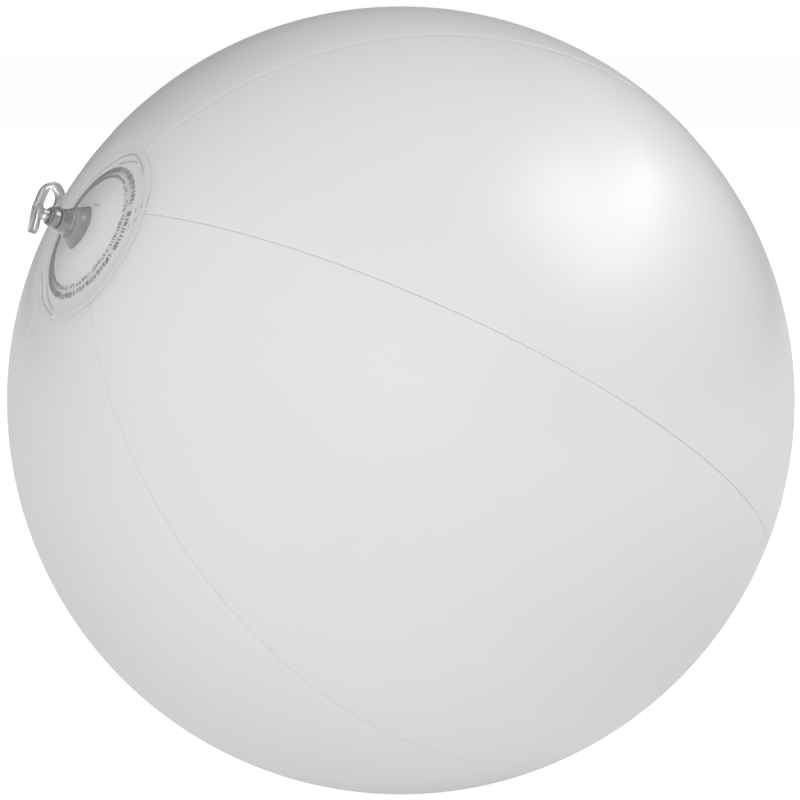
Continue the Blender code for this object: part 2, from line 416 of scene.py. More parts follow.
@dataclass(frozen=True)
class VinylFinish:
    """A soft vinyl: its two tones, its gloss, how clear it is and how uneven its surface is."""

    name: str
    tone: Colour
    clouded: Colour
    roughness: tuple[float, float]
    cloud_scale: float = 9.0
    grain_scale: float = 900.0
    ripple_scale: float = 14.0
    ripple: float = 0.4 * MM
    grain: float = 0.004 * MM
    clearness: float = 0.0
    bending: float = 1.50
    lacquer: float = 0.0
    lacquer_roughness: float = 0.1
    lacquer_bending: float = 1.7
    haze_span: tuple[float, float] = (0.3, 0.7)
    # The tone that the 'weld' mark mixes in: the seams' own darker weld, and painted shade in the patch's
    # creases and on one side of the weld band.
    weld_and_shade_tone: Colour | None = None

    def material(self) -> bpy.types.Material:
        """Builds the finish once.

        Returns:
            The material, with every constant on the shader's own sockets.
        """
        known = bpy.data.materials.get(self.name)
        if known:
            return known
        material = bpy.data.materials.new(self.name)
        material.use_nodes = True
        nodes, links = material.node_tree.nodes, material.node_tree.links
        shader = nodes["Principled BSDF"]
        shader.inputs["IOR"].default_value = self.bending
        shader.inputs["Transmission Weight"].default_value = self.clearness
        shader.inputs["Coat Weight"].default_value = self.lacquer
        shader.inputs["Coat Roughness"].default_value = self.lacquer_roughness
        shader.inputs["Coat IOR"].default_value = self.lacquer_bending

        haze = nodes.new("ShaderNodeGroup")
        haze.node_tree = SharedEffects.haze()
        haze.inputs["Cloud Scale"].default_value = self.cloud_scale
        haze.inputs["Grain Scale"].default_value = self.grain_scale
        haze.inputs["Ripple Scale"].default_value = self.ripple_scale

        tones = self.blend(nodes, links, haze.outputs["Cloud"], self.tone, self.clouded)
        # The 'weld' mark darkens the tone: a real darker weld on the gores, painted shade on the patch's
        # creases and on one side of the weld band.
        if self.weld_and_shade_tone is not None:
            weld = nodes.new("ShaderNodeAttribute")
            weld.attribute_name = "weld"
            tones = self.blend(nodes, links, weld.outputs["Fac"], tones, self.weld_and_shade_tone)
        links.new(tones, shader.inputs["Base Color"])

        gloss = nodes.new("ShaderNodeMapRange")
        gloss.inputs["From Min"].default_value, gloss.inputs["From Max"].default_value = self.haze_span
        gloss.inputs["To Min"].default_value, gloss.inputs["To Max"].default_value = self.roughness
        links.new(haze.outputs["Cloud"], gloss.inputs["Value"])
        links.new(gloss.outputs["Result"], shader.inputs["Roughness"])

        before = None
        for label, height in (("Ripple", self.ripple), ("Grain", self.grain)):
            bump = nodes.new("ShaderNodeBump")
            bump.inputs["Strength"].default_value = 1.0
            bump.inputs["Distance"].default_value = height
            links.new(haze.outputs[label], bump.inputs["Height"])
            if before:
                links.new(before.outputs["Normal"], bump.inputs["Normal"])
            before = bump
        links.new(before.outputs["Normal"], shader.inputs["Normal"])
        return material

    @staticmethod
    def blend(
        nodes: bpy.types.Nodes,
        links: bpy.types.NodeLinks,
        share: bpy.types.NodeSocket,
        first: Colour | bpy.types.NodeSocket,
        second: Colour,
    ) -> bpy.types.NodeSocket:
        """Mixes two tones by a mask.

        Args:
            nodes: the material's nodes.
            links: the material's links.
            share: the mask; 0 gives the first tone.
            first: a tone, or the socket that gives it.
            second: the other tone.

        Returns:
            The socket with the mixed tone.
        """
        mix = nodes.new("ShaderNodeMix")
        mix.data_type = "RGBA"
        links.new(share, mix.inputs["Factor"])
        if isinstance(first, tuple):
            mix.inputs["A"].default_value = (*first, 1.0)
        else:
            links.new(first, mix.inputs["A"])
        mix.inputs["B"].default_value = (*second, 1.0)
        return mix.outputs["Result"]

    def dress(self, piece: Piece) -> None:
        """Gives a piece this finish and no other."""
        piece.data.materials.clear()
        piece.data.materials.append(self.material())


GORE_FILM = VinylFinish(
    name="milky_film",
    tone=(0.70, 0.70, 0.715),
    clouded=(0.73, 0.73, 0.745),
    roughness=(0.28, 0.34),
    weld_and_shade_tone=(0.62, 0.62, 0.63),
)
PATCH_FILM = VinylFinish(
    name="patch_film",
    tone=(0.67, 0.67, 0.685),
    clouded=(0.71, 0.71, 0.725),
    roughness=(0.28, 0.36),
    ripple_scale=60.0,
    ripple=0.15 * MM,
    # Darker tone for the painted shade along the patch's creases.
    weld_and_shade_tone=(0.40, 0.40, 0.41),
)
WELD_BAND = VinylFinish(
    name="weld_band_film",
    tone=(0.54, 0.54, 0.55),
    clouded=(0.66, 0.66, 0.67),
    roughness=(0.30, 0.45),
    cloud_scale=220.0,
    ripple_scale=300.0,
    ripple=0.05 * MM,
    # Darker tone for the painted shade on one side of the weld band.
    weld_and_shade_tone=(0.34, 0.34, 0.345),
)
WELD_MARK = VinylFinish(
    name="weld_mark_grey",
    tone=(0.20, 0.20, 0.205),
    clouded=(0.30, 0.30, 0.305),
    roughness=(0.35, 0.5),
    cloud_scale=500.0,
    ripple_scale=600.0,
    ripple=0.03 * MM,
)
BOOT_VINYL = VinylFinish(
    name="boot_grey_vinyl",
    tone=(0.34, 0.34, 0.345),
    clouded=(0.58, 0.58, 0.585),
    roughness=(0.10, 0.20),
    cloud_scale=180.0,
    ripple_scale=260.0,
    ripple=0.08 * MM,
    clearness=0.4,
)
CLEAR_VINYL = VinylFinish(
    name="clear_moulded_vinyl",
    tone=(0.44, 0.44, 0.445),
    clouded=(0.72, 0.72, 0.73),
    roughness=(0.04, 0.10),
    cloud_scale=240.0,
    ripple_scale=380.0,
    ripple=0.14 * MM,
    clearness=0.7,
    lacquer=1.0,
    lacquer_roughness=0.03,
)


def fit(
    piece: Piece, finish: VinylFinish, body: str, node: str | None = None, angle: float = 35.0
) -> None:
    """Dresses a piece that is in its place, and says what it rides and what it stands for.

    Args:
        piece: the piece.
        finish: its finish.
        body: the body that it rides.
        node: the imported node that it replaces, if any.
        angle: edges sharper than this, in degrees, stay crisp.
    """
    Bench.smooth(piece, angle)
    finish.dress(piece)
    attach(piece, body)
    if node:
        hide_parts(node)


class Cling:
    """The shallow dent that the welded valve pulls into the film, for all that lies on it."""

    depth = 2.4 * MM
    reach = 60 * MM
    # Distance from the valve's axis, as a share of the reach, and the share of the depth there.
    shape = (
        (0.10, 0.0),
        (0.15, 0.08),
        (0.25, 0.48),
        (0.34, 0.85),
        (0.40, 1.0),
        (0.45, 0.93),
        (0.53, 0.48),
        (0.62, 0.13),
        (0.75, 0.02),
        (1.0, 0.0),
    )

    def __init__(self, bearings: Bearings, size: BallSize) -> None:
        """Sets the two guides that the dent runs between.

        Args:
            bearings: the ball's frames.
            size: the ball's sizes.
        """
        outwards = bearings.valve.to_3x3() @ Vector((0, 0, 1))
        top = size.centre + outwards * size.radius
        self.guides = [self.guide(top), self.guide(top - outwards * self.depth)]

    @staticmethod
    def guide(spot: Vector) -> Piece:
        """Adds an empty at a spot.

        Args:
            spot: where it goes.

        Returns:
            The empty.
        """
        bpy.ops.object.select_all(action="DESELECT")
        bpy.ops.object.empty_add(location=spot)
        return bpy.context.view_layer.objects.active

    def press(self, piece: Piece) -> None:
        """Presses the dent into a piece that is in its place.

        Args:
            piece: the piece to dent.
        """
        Bench.take(piece)
        warp = piece.modifiers.new("cling", "WARP")
        warp.object_from, warp.object_to = self.guides
        warp.falloff_radius = self.reach
        warp.falloff_type = "CURVE"
        curve = warp.falloff_curve.curves[0]
        curve.points[0].location = (0.0, 0.0)
        curve.points[-1].location = (1.0, 0.0)
        for share, depth in self.shape[:-1]:
            curve.points.new(1.0 - share, depth)
        warp.falloff_curve.update()
        bpy.ops.object.modifier_apply(modifier=warp.name)

    def put_away(self) -> None:
        """Removes the guides."""
        for guide in self.guides:
            bpy.data.objects.remove(guide, do_unlink=True)


@dataclass
class Envelope:
    """The six gores of milky film, each with its edges folded in and welded to its neighbours."""

    size: BallSize
    bearings: Bearings
    rows: int = 120
    columns: int = 40
    end_radius: float = 24 * MM
    fold: float = 2.5 * MM
    fold_rounding: float = 0.26 * MM
    fold_segments: int = 4
    # How far the weld's darker line spreads, as a share of the fold's rounding.
    weld_spread: float = 0.6
    seam_gap: float = 0.015 * MM
    finish: VinylFinish = GORE_FILM

    def build(self, cling: Cling) -> None:
        """Models one gore, then copies it round the ball.

        Args:
            cling: the dent round the valve.
        """
        pattern = self.pattern()
        for index in range(self.size.gores):
            turn = Matrix.Rotation(index * FULL_TURN / self.size.gores, 4, "Z")
            gore = Bench.place(Bench.copy(pattern, f"gore_{index + 1}"), self.bearings.seams @ turn)
            cling.press(gore)
            self.rest_on_floor(gore)
            Bench.modify(gore, "SOLIDIFY", thickness=self.size.film, offset=-1.0)
            fit(gore, self.finish, "ball", f"panel_{index + 1}", angle=60)
        bpy.data.objects.remove(pattern, do_unlink=True)

    def pattern(self) -> Piece:
        """Spins a gore from an arc, about Z with its middle at X, and folds its long edges in.

        Returns:
            The open gore about the origin.
        """
        radius = self.size.radius
        half = math.pi / self.size.gores - self.seam_gap / radius
        bpy.ops.object.select_all(action="DESELECT")
        bpy.ops.mesh.primitive_circle_add(
            vertices=2 * self.rows, radius=radius, fill_type="NOTHING", rotation=(math.pi / 2, 0, half)
        )
        gore = Bench.adopt("gore_pattern")
        Bench.edit(gore)
        along = Vector((math.cos(half), math.sin(half), 0))
        Bench.pick(gore, Grip.VERTS, lambda spot: spot.dot(along) < self.end_radius)
        bpy.ops.mesh.delete(type="VERT")
        bpy.ops.mesh.select_all(action="SELECT")
        # The spin runs clockwise seen from above, from one long edge to the other.
        bpy.ops.mesh.spin(steps=self.columns, angle=2 * half, center=(0, 0, 0), axis=(0, 0, 1))
        Bench.tidy_normals()

        def at_seam(spot: Vector) -> bool:
            """Whether a spot is on one of the gore's long edges."""
            return abs(abs(math.atan2(spot.y, spot.x)) - half) < 0.1 * half / self.columns

        def at_fold(spot: Vector) -> bool:
            """Whether a spot is on a long edge and on the ball's surface."""
            return at_seam(spot) and spot.length > radius - self.fold / 2

        Bench.pick(gore, Grip.EDGES, at_seam)
        bpy.ops.mesh.extrude_region_move()
        shrink = 1 - self.fold / radius
        bpy.ops.transform.resize(value=(shrink,) * 3, center_override=(0, 0, 0))
        Bench.pick(gore, Grip.EDGES, at_fold)
        bpy.ops.mesh.bevel(
            offset=self.fold_rounding, offset_type="OFFSET", segments=self.fold_segments, affect="EDGES"
        )
        Bench.done()

        def in_weld(spot: Vector) -> float:
            """How deep in the weld a spot lies."""
            distance = (half - abs(math.atan2(spot.y, spot.x))) * math.hypot(spot.x, spot.y)
            return max(0.0, 1.0 - distance / (self.weld_spread * self.fold_rounding))

        Bench.mark(gore, in_weld)
        return gore

    def rest_on_floor(self, gore: Piece) -> None:
        """Flattens the part of a placed gore that would reach below the floor.

        Args:
            gore: the gore, in its place.
        """
        if min(v.co.z for v in gore.data.vertices) >= 0:
            return
        Bench.edit(gore)
        bpy.ops.mesh.bisect(plane_co=(0, 0, 0), plane_no=(0, 0, 1))
        Bench.pick(gore, Grip.VERTS, lambda spot: spot.z < 0)
        bpy.ops.transform.resize(value=(1, 1, 0), center_override=(0, 0, 0))
        Bench.done()


@dataclass(frozen=True)
class MarkRow:
    """A row of weld marks: its bounds in mm, their number, their shares of its room, how many lack."""

    inner: float
    outer: float
    count: int
    lengths: tuple[float, float]
    widths: tuple[float, float]
    lacking: float


@dataclass
class EndPatches:
    """The round patches over the gores' ends, with the weld ring round the valve."""

    size: BallSize
    bearings: Bearings
    radius: float = 33.2 * MM
    hole: float = 5.2 * MM
    taper: float = 4.0 * MM
    ring_step: float = 0.35 * MM
    sides: int = 240
    band: tuple[float, float] = (20.3 * MM, 25.1 * MM)
    bead: tuple[float, float] = (22.0 * MM, 22.7 * MM)
    band_lift: float = 0.06 * MM
    bead_lift: float = 0.28 * MM
    rim_drop: float = 1.8
    mark_height: float = 0.16 * MM
    mark_rows: tuple[MarkRow, ...] = (
        MarkRow(22.8, 25.1, 118, (0.72, 1.0), (0.5, 1.0), 0.06),
        MarkRow(20.4, 21.9, 124, (0.4, 0.95), (0.4, 0.9), 0.12),
    )
    mark_seed: int = 11
    # The side of the weld ring that gets painted shade: the band's tone darkens and its marks run longer,
    # wider and closer together there.
    painted_shade_side: float = math.radians(268.0)
    painted_shade_strength: float = 0.9
    crease_width: float = 0.9 * MM
    # How far a crease's ridge and the painted shade along it reach, as shares of the step between rings.
    ridge_reach: float = 0.55
    crease_shade_spread: float = 1.6
    # Each crease: its height, then its distance from the valve's axis in mm at angles in degrees.
    creases: tuple[tuple[float, Outline], ...] = (
        (0.36 * MM, ((-141, 26.4), (-158, 27.4), (-169, 28.8), (-185, 30.4), (-198, 30.1), (-215, 29.8))),
        (0.32 * MM, ((-168, 26.0), (-178, 26.6), (-187, 27.8), (-198, 29.0))),
        (0.36 * MM, ((-52, 29.4), (-37, 28.7), (-22, 29.8), (-10, 30.2), (2, 31.2))),
        (0.32 * MM, ((-34, 25.6), (-26, 26.4), (-17, 27.4), (1, 29.3))),
        (0.20 * MM, ((-188, 8.7), (-198, 9.4), (-212, 10.6))),
        (0.26 * MM, ((98, 26.4), (104, 26.6))),
        (0.26 * MM, ((103, 29.0), (109, 29.6))),
        (0.24 * MM, ((113, 27.6), (118, 27.2))),
        (0.24 * MM, ((114, 31.0), (119, 30.6))),
    )
    film: VinylFinish = PATCH_FILM
    band_film: VinylFinish = WELD_BAND
    mark_film: VinylFinish = WELD_MARK

    @property
    def face(self) -> float:
        """The radius of the patches' outer faces."""
        return self.size.radius + self.size.patch_lift

    def build(self, cling: Cling) -> None:
        """Models both patches, the weld band, its bead and its marks.

        Args:
            cling: the dent round the valve.
        """
        valve_patch = self.patch("valve_patch_film", self.hole)
        self.crease(valve_patch)
        end_patch = self.patch("end_patch_film", 0.0)
        flip = Matrix.Rotation(math.pi, 4, "X")
        pieces = (
            (valve_patch, self.bearings.valve, self.film, "valve_patch"),
            (self.weld_band("weld_band"), self.bearings.valve, self.band_film, None),
            (self.weld_marks("weld_marks"), self.bearings.valve, self.mark_film, None),
            (end_patch, self.bearings.seams @ flip, self.film, "base_patch"),
            (self.weld_band("end_weld_band"), self.bearings.seams @ flip, self.band_film, None),
        )
        for piece, frame, finish, node in pieces:
            Bench.place(piece, frame)
            cling.press(piece)
            fit(piece, finish, "ball", node, angle=50)

    def height(self, across: float, lift: float = 0.0) -> float:
        """The height of the patch's outer face, or of a face above it, at a distance from the axis."""
        return math.sqrt((self.face + lift) ** 2 - across**2)

    def patch(self, name: str, hole: float) -> Piece:
        """Turns a patch whose outer edge tapers down to the gores.

        Args:
            name: the piece's name.
            hole: the radius of the hole in its middle, or 0.

        Returns:
            The patch about the ball's centre, with Z out through its middle.
        """
        count = round((self.radius - hole) / self.ring_step)
        stops = [hole + (self.radius - hole) * i / count for i in range(count + 1)]
        film = self.size.film

        def sunk(across: float) -> float:
            """How far the top face has come down towards the gores at a distance from the axis."""
            return -self.rim_drop * film * max(0.0, 1 - (self.radius - across) / self.taper)

        top = [(across, self.height(across, sunk(across))) for across in stops]
        level = stops[: -round(self.taper / self.ring_step)]
        under = [(across, self.height(across, -film)) for across in reversed(level)]
        rim = [(stops[-1], self.height(stops[-1], -(self.rim_drop + 0.3) * film))]
        return Bench.turn(name, top + rim + under, self.sides, ring=hole > 0)

    @staticmethod
    def off_ridge(spot: Vector, line: Outline) -> float:
        """How far a spot is from a crease's ridge, towards or away from the axis.

        Args:
            spot: a place on the patch, in its frame.
            line: the crease's distances at angles.

        Returns:
            The distance, which is endless beyond the crease's ends.
        """
        angle = math.degrees(math.atan2(spot.y, spot.x))
        for (start, near), (end, far) in zip(line, line[1:]):
            low, span = min(start, end), abs(end - start)
            within = (angle - low) % 360
            if within <= span:
                share = within / span if low == start else 1 - within / span
                return abs(math.hypot(spot.x, spot.y) - (near + (far - near) * share) * MM)
        return math.inf

    def crease(self, patch: Piece) -> None:
        """Paints shade along the creases round the weld ring, through the finish's darker tone, and raises
        the slack film in them.

        Args:
            patch: the patch about the ball's centre.
        """

        def crease_shade(spot: Vector) -> float:
            """How much painted shade a spot gets from how near it lies to a crease's ridge."""
            off = min(self.off_ridge(spot, line) for _, line in self.creases)
            return max(0.0, 1.0 - off / (self.crease_shade_spread * self.ring_step))

        # The creases' darker lines are painted shade, mixed into the patch's tone by this mark.
        Bench.mark(patch, crease_shade)
        near = self.ridge_reach * self.ring_step
        Bench.edit(patch)
        for height, line in self.creases:
            Bench.pick(patch, Grip.VERTS, lambda spot: self.off_ridge(spot, line) < near)
            bpy.ops.transform.resize(
                value=(1 + height / self.face,) * 3,
                center_override=(0, 0, 0),
                use_proportional_edit=True,
                proportional_edit_falloff="SMOOTH",
                proportional_size=self.crease_width,
            )
        Bench.done()

    def weld_band(self, name: str) -> Piece:
        """Turns the band that the welding tool flattens, with its raised bead.

        Args:
            name: the piece's name.

        Returns:
            The band about the ball's centre.
        """
        inner, outer = self.band
        bead_in, bead_out = self.bead
        points = [
            (inner, self.band_lift / 2),
            (inner + 0.2 * MM, self.band_lift),
            (bead_in, self.band_lift),
            (bead_in + 0.1 * MM, self.bead_lift),
            (bead_out - 0.1 * MM, self.bead_lift),
            (bead_out, self.band_lift),
            (outer - 0.2 * MM, self.band_lift),
            (outer, self.band_lift / 2),
            (outer, -self.size.film / 2),
            (inner, -self.size.film / 2),
        ]
        outline = [(across, self.height(across, lift)) for across, lift in points]
        band = Bench.turn(name, outline, self.sides)
        # Paints shade on one side of the band: this mark darkens its tone there.
        Bench.mark(band, lambda spot: self.painted_shade_strength * self.painted_shade(math.atan2(spot.y, spot.x)))
        return band

    def painted_shade(self, angle: float) -> float:
        """How much painted shade the weld ring gets at an angle round the axis, from 0 to 1."""
        return min(1.0, max(0.0, 1.5 * math.cos(angle - self.painted_shade_side) + 0.15))

    def weld_marks(self, name: str) -> Piece:
        """Models the two rows of short bars that the welding tool leaves, as one piece.

        Args:
            name: the piece's name.

        Returns:
            The marks about the ball's centre.
        """
        draw = random.Random(self.mark_seed)
        bars = []
        for row in self.mark_rows:
            tall, pitch = (row.outer - row.inner) * MM, row.inner * FULL_TURN / row.count * MM
            for index in range(row.count):
                angle = (index + draw.uniform(-0.2, 0.2)) * FULL_TURN / row.count
                # The marks run longer, wider and closer together on the side that gets painted shade.
                painted_shade = self.painted_shade(angle)
                if draw.random() < row.lacking * (1 - painted_shade):
                    continue
                length = tall * min(1.0, draw.uniform(*row.lengths) + 0.5 * painted_shade)
                width = pitch * (draw.uniform(*row.widths) + 0.3 * painted_shade)
                middle = row.inner * MM + length / 2 + (tall - length) * draw.choice((0.0, 0.5, 1.0))
                bars.append(self.bar((length, width, middle), angle))
        return Bench.join(bars, name)

    def bar(self, size: tuple[float, float, float], angle: float) -> Piece:
        """Models one mark.

        Args:
            size: its radial length, its width and how far from the axis its middle is.
            angle: its place round the axis.

        Returns:
            The bar in the patch's frame, narrower on top.
        """
        length, width, middle = size
        turn = Matrix.Rotation(angle, 4, "Z")
        tilt = Matrix.Rotation(math.asin(middle / self.face), 4, "Y")
        lift = Matrix.Translation((0, 0, self.face + self.band_lift))
        bpy.ops.object.select_all(action="DESELECT")
        bpy.ops.mesh.primitive_cube_add(size=1, scale=(length, width, self.mark_height))
        bar = Bench.adopt("weld_bar")
        Bench.edit(bar, Grip.FACES)
        Bench.pick(bar, Grip.FACES, lambda spot: spot.z > 0)
        bpy.ops.transform.resize(value=(0.85, 0.75, 1), center_override=(0, 0, 0))
        Bench.done()
        return Bench.place(bar, turn @ tilt @ lift)


@dataclass
class Boot:
    """The soft hollow cone that carries the stem, the clear sleeve over it and the flange below it."""

    size: BallSize
    bearings: Bearings
    lean: float = math.radians(9.0)
    sides: int = 96
    base: float = 7.5 * MM
    lip: float = 4.9 * MM
    lip_height: float = 4.9 * MM
    bulge: float = 0.45 * MM
    flattening: float = 0.15
    shift: float = 0.75 * MM
    # The base's pinched corners: the angle in degrees and how far each is drawn out in mm.
    pinches: tuple[tuple[float, float], ...] = ((168.0, 0.55), (-16.0, 0.5))
    pinch_reach: float = 2.2 * MM
    wall: float = 0.6 * MM
    sleeve: float = 3.85 * MM
    sleeve_top: float = 8.9 * MM
    bore: float = 2.65 * MM
    flange: tuple[float, float] = (6.6 * MM, 8.8 * MM)
    flange_thickness: float = 0.8 * MM
    finish: VinylFinish = BOOT_VINYL
    sleeve_finish: VinylFinish = CLEAR_VINYL

    def build(self) -> None:
        """Models the three pieces."""
        cone = Bench.place(self.cone(), self.bearings.boot)
        Bench.smooth(cone)
        self.finish.dress(cone)
        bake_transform(cone)
        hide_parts("valve_boot")

        sleeve = Bench.place(self.stem_sleeve(), self.bearings.stem)
        fit(sleeve, self.sleeve_finish, "stem")
        ring = Bench.place(self.flange_ring(), self.bearings.valve)
        fit(ring, self.finish, "ball", "valve_flange")

    def stem_sleeve(self) -> Piece:
        """Turns the clear sleeve, which widens over the cone's lip.

        Returns:
            The sleeve in the stem's frame.
        """
        outline = [
            (self.bore, self.sleeve_top),
            (self.sleeve - 0.3 * MM, self.sleeve_top),
            (self.sleeve, self.sleeve_top - 0.3 * MM),
            (self.lip - 0.5 * MM, self.lip_height + 0.9 * MM),
            (self.lip + 0.05 * MM, self.lip_height + 0.5 * MM),
            (self.lip + 0.1 * MM, self.lip_height + 0.1 * MM),
            (self.lip - 0.25 * MM, self.lip_height - 0.1 * MM),
            (self.bore, self.lip_height - 0.1 * MM),
        ]
        sleeve = Bench.turn("stem_sleeve", outline, self.sides)
        Bench.round_edges(sleeve, 0.1 * MM, segments=2, angle=20)
        return sleeve

    def flange_ring(self) -> Piece:
        """Turns the flange, which lies against the film from inside.

        Returns:
            The flange about the ball's centre.
        """
        inner, outer = self.flange
        above = self.size.radius
        below = above - self.flange_thickness
        corners = ((inner, above), (outer, above), (outer, below), (inner, below))
        section = [(across, math.sqrt(radius**2 - across**2)) for across, radius in corners]
        ring = Bench.turn("flange_ring", section, self.sides)
        Bench.round_edges(ring, 0.2 * MM)
        return ring

    def cone(self) -> Piece:
        """Draws the wall up the outside and down the inside, then pinches the base's two corners.

        Returns:
            The cone in the boot's frame.
        """
        skirt = -self.size.film
        wall = self.wall
        slope = (self.lip - self.base) / self.lip_height
        stops = [(self.base, skirt), (self.base, 0.0)]
        for share in (0.15, 0.3, 0.45, 0.6, 0.75, 0.88):
            out = 4 * self.bulge * share * (1 - share)
            stops.append((self.base + slope * share * self.lip_height + out, share * self.lip_height))
        stops += [
            (self.lip, self.lip_height - 0.25 * MM),
            (self.lip - 0.2 * MM, self.lip_height - 0.1 * MM),
            (self.bore + 0.1 * MM, self.lip_height - 0.12 * MM),
            (self.bore + 0.1 * MM, self.lip_height - 0.6 * MM),
            (self.lip - wall, self.lip_height - 0.9 * MM),
            ((self.base + self.lip) / 2 - wall, self.lip_height * 0.45),
            (self.base - wall, 0.0),
            (self.base - wall, skirt),
        ]
        piece = self.stack("boot_cone", stops)
        Bench.edit(piece)
        for angle, drawn in self.pinches:
            corner = Vector((math.cos(math.radians(angle)), math.sin(math.radians(angle)), 0))
            near = 0.93 * self.base
            Bench.pick(piece, Grip.VERTS, lambda spot: spot.z < MERGE and spot.dot(corner) > near)
            bpy.ops.transform.translate(
                value=corner * drawn * MM,
                use_proportional_edit=True,
                proportional_edit_falloff="SHARP",
                proportional_size=self.pinch_reach,
            )
        Bench.done()
        return piece

    def stack(self, name: str, stops: Outline) -> Piece:
        """Extrudes a circle through rings whose tilt grows with their height, then closes the wall.

        Args:
            name: the piece's name.
            stops: the rings' radius and height.

        Returns:
            The piece in the boot's frame.
        """

        def risen(height: float) -> float:
            """How far up the cone a height is, from 0 at the base to 1 at the lip."""
            return min(1.0, max(0.0, height / self.lip_height))

        def oval(height: float) -> float:
            """How wide a ring at this height is across, as a share of its length."""
            return 1 - self.flattening * (1 - risen(height))

        def middle(height: float) -> Vector:
            """The middle of the ring at this height along the stem's axis.

            Args:
                height: the ring's height.

            Returns:
                Its middle in the boot's frame.
            """
            aside = -self.shift * (1 - risen(height))
            if height <= 0:
                return Vector((0, aside, height))
            return Vector((math.sin(self.lean) * height, aside, math.cos(self.lean) * height))

        radius, start = stops[0]
        bpy.ops.object.select_all(action="DESELECT")
        bpy.ops.mesh.primitive_circle_add(vertices=self.sides, radius=radius, location=middle(start))
        piece = Bench.adopt(name)
        Bench.edit(piece)
        bpy.ops.transform.resize(value=(1, oval(start), 1), center_override=middle(start))
        for (wide, low), (narrow, high) in zip(stops, stops[1:]):
            bpy.ops.mesh.extrude_region_move()
            centre = middle(low)
            # In background, transform.rotate turns the other way, so the angle is the opposite one.
            swing = self.lean * (risen(low) - risen(high))
            bpy.ops.transform.rotate(value=swing, orient_axis="Y", center_override=centre)
            shrink = narrow / wide
            scale = (shrink, shrink * oval(high) / oval(low), shrink)
            bpy.ops.transform.resize(value=scale, center_override=centre)
            bpy.ops.transform.translate(value=middle(high) - centre)
        bpy.ops.mesh.select_mode(type="EDGE")
        bpy.ops.mesh.select_all(action="DESELECT")
        bpy.ops.mesh.select_non_manifold(extend=False, use_wire=True, use_boundary=True)
        bpy.ops.mesh.bridge_edge_loops()
        Bench.tidy_normals()
        Bench.done()
        return piece


@dataclass
class Stem:
    """The tube that is blown into and the ring by which the strap holds on to it."""

    bearings: Bearings
    sides: int = 72
    radius: float = 2.6 * MM
    bore: float = 1.7 * MM
    bottom: float = -3.5 * MM
    mouth: float = 12.9 * MM
    bead: float = 3.2 * MM
    ring: float = 3.5 * MM
    ring_heights: tuple[float, float] = (9.4 * MM, 12.1 * MM)
    finish: VinylFinish = CLEAR_VINYL

    def build(self) -> None:
        """Turns the tube and the ring."""
        tube = [
            (self.bore + 0.25 * MM, self.mouth),
            (self.bead - 0.2 * MM, self.mouth),
            (self.bead, self.mouth - 0.25 * MM),
            (self.bead - 0.1 * MM, self.mouth - 0.5 * MM),
            (self.radius, self.mouth - 0.7 * MM),
            (self.radius, self.bottom + 0.3 * MM),
            (self.radius - 0.3 * MM, self.bottom),
            (self.bore, self.bottom),
            (self.bore, self.mouth - 0.5 * MM),
        ]
        low, high = self.ring_heights
        hole = self.radius + 0.05 * MM
        ring = [
            (hole, high),
            (self.ring - 0.35 * MM, high),
            (self.ring, high - 0.45 * MM),
            (self.ring - 0.12 * MM, (low + high) / 2),
            (self.ring, low + 0.45 * MM),
            (self.ring - 0.35 * MM, low),
            (hole, low),
        ]
        for name, outline, node in (("stem_tube", tube, "valve_stem"), ("stem_ring", ring, "strap_ring")):
            piece = Bench.turn(name, outline, self.sides)
            Bench.round_edges(piece, 0.12 * MM, segments=2, angle=20)
            fit(Bench.place(piece, self.bearings.stem), self.finish, "stem", node)


@dataclass
class CheckFlap:
    """The thin round flap under the stem, which air from inside presses shut."""

    # The hinge's place in the stem's frame, from which the frame itself is found.
    hinge_offset = 2.7 * MM
    hinge_height = -4.05 * MM

    bearings: Bearings
    radius: float = 2.45 * MM
    thickness: float = 0.45 * MM
    tongue: float = 0.2 * MM
    finish: VinylFinish = CLEAR_VINYL

    def build(self) -> None:
        """Draws out one side of a disc to the hinge."""
        bpy.ops.object.select_all(action="DESELECT")
        bpy.ops.mesh.primitive_cylinder_add(
            vertices=64, radius=self.radius, depth=self.thickness, location=(0, 0, self.hinge_height)
        )
        flap = Bench.adopt("flap_disc")
        Bench.edit(flap)
        Bench.pick(flap, Grip.VERTS, lambda spot: spot.x > -MERGE)
        bpy.ops.transform.resize(value=(0, 1, 1), center_override=(0, 0, 0))
        bpy.ops.transform.translate(value=(self.hinge_offset + self.tongue, 0, 0))
        Bench.done()
        Bench.round_edges(flap, 0.1 * MM, segments=2)
        fit(Bench.place(flap, self.bearings.stem), self.finish, "flap", "check_flap")


